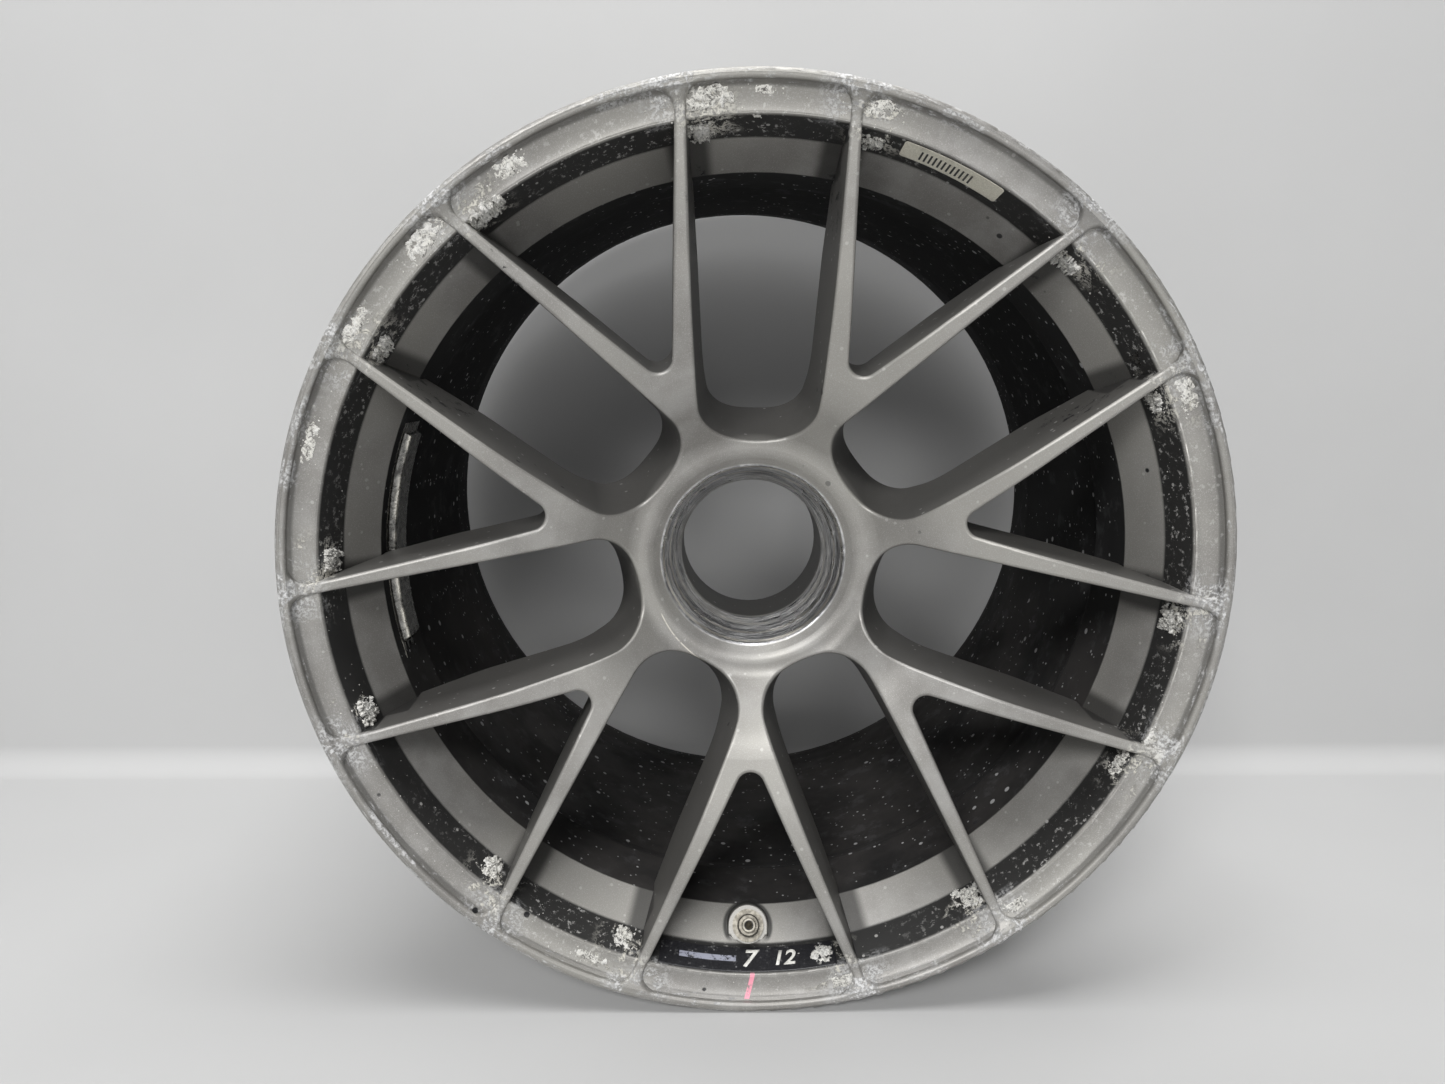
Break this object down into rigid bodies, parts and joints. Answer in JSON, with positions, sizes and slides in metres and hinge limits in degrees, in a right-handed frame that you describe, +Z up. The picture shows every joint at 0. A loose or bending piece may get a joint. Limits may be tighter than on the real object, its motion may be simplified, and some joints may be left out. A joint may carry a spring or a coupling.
{
  "type": "forged racing wheel rim",
  "caption": "Centre-lock forged racing wheel with forked spokes, deep drop-centre barrel, clamp-in tyre valve, taped balance weights and bushed drive-pin holes.",
  "frame": {"origin": "centre of the wheel, on the axle's line and halfway between the two flanges' outer faces", "axes": "+Y along the axle towards the car, so the outboard face with the spokes looks to -Y; +Z up; +X to the right seen from the outboard side"},
  "size_m": [0.472, 0.3006, 0.472],
  "materials": {
    "satin_gunmetal": "satin, baked-on dust and fine scratches",
    "valve_alloy": "machined",
    "black_rubber": "matt",
    "brass": "machined",
    "spring_steel": "bright",
    "foam_tape": "matt foam",
    "foil": "crumpled, bright",
    "label_paper": "matt, grubby",
    "black_vinyl": "semi-gloss, scuffed",
    "weight_steel": "zinc plated",
    "bush_steel": "ground"
  },
  "bodies": {
    "wheel": {"wheel_forging": "satin_gunmetal", "valve_stem": "valve_alloy", "valve_nut": "valve_alloy", "valve_washer": "valve_alloy", "valve_outer_seal": "black_rubber", "valve_grommet": "black_rubber", "valve_core_housing": "brass", "valve_core_gasket": "black_rubber", "valve_core_spring": "spring_steel", "weight_adhesive": "foam_tape", "weight_foil": "foil", "inventory_label": "label_paper", "number_decal": "black_vinyl", "balance_weight_1": "weight_steel", "balance_weight_2": "weight_steel", "balance_weight_3": "weight_steel", "balance_weight_4": "weight_steel", "balance_weight_5": "weight_steel", "drive_bush_1": "bush_steel", "drive_bush_2": "bush_steel", "drive_bush_3": "bush_steel", "drive_bush_4": "bush_steel", "drive_bush_5": "bush_steel"},
    "valve_pin": {"valve_core_pin": "brass", "valve_core_cup": "black_rubber"}
  },
  "joints": [
    {"name": "valve_pin_press", "type": "slide", "parent": "wheel", "child": "valve_pin", "axis": [-0.0074, 0.848, -0.5299], "range_m": [0, 0.0015], "stiffness_N_per_m": 2000, "springref_m": -0.001, "deforming": ["valve_core_spring"]}
  ]
}
